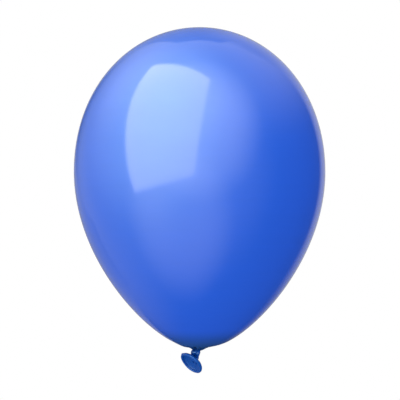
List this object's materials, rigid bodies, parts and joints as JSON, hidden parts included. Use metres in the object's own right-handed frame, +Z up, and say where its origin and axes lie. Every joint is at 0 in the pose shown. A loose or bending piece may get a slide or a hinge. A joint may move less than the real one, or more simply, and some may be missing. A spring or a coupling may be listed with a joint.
{
  "type": "latex balloon",
  "caption": "Inflated teardrop latex balloon, tied with an overhand knot, with a flared tail that ends in a rolled lip.",
  "frame": {"origin": "centre of the cinched neck, between the gathered neck and the knot, where a ribbon is tied", "axes": "+Z up from the neck towards the crown, along the envelope's axis, which lies 4.4 mm to the +Y side; the mouth leans towards -Y"},
  "size_m": [0.23, 0.23, 0.3167],
  "materials": {
    "stretched_latex": "gloss",
    "gathered_latex": "satin",
    "slack_latex": "satin"
  },
  "bodies": {
    "envelope": {"envelope": "stretched_latex", "crown_tip": "stretched_latex", "gathered_neck": "gathered_latex"},
    "neck": {"neck_strand": "gathered_latex"},
    "knot": {"knot_turn": "gathered_latex", "knot_tuck": "gathered_latex"},
    "tail_stem": {"tail_neck": "gathered_latex"},
    "tail": {"tail_throat": "slack_latex", "tail_flare": "slack_latex", "throat_fold": "slack_latex", "mouth_lip": "slack_latex"}
  },
  "joints": [
    {"name": "knot_nod", "type": "hinge", "parent": "envelope", "child": "neck", "pos_m": [0, 0, 0], "axis": [1, 0, 0], "range_deg": [-10, 10], "stiffness_Nm_per_rad": 0.003},
    {"name": "knot_swing", "type": "hinge", "parent": "neck", "child": "knot", "pos_m": [0, 0, -0.0026], "axis": [0, 1, 0], "range_deg": [-12, 12], "stiffness_Nm_per_rad": 0.003},
    {"name": "tail_swivel", "type": "hinge", "parent": "knot", "child": "tail_stem", "pos_m": [0, 0, -0.005], "axis": [0, 0, -1], "range_deg": [-90, 90], "stiffness_Nm_per_rad": 0.0005},
    {"name": "tail_bend", "type": "hinge", "parent": "tail_stem", "child": "tail", "pos_m": [0, 0, -0.0084], "axis": [-1, 0, 0], "range_deg": [-52, 12], "stiffness_Nm_per_rad": 0.001}
  ]
}
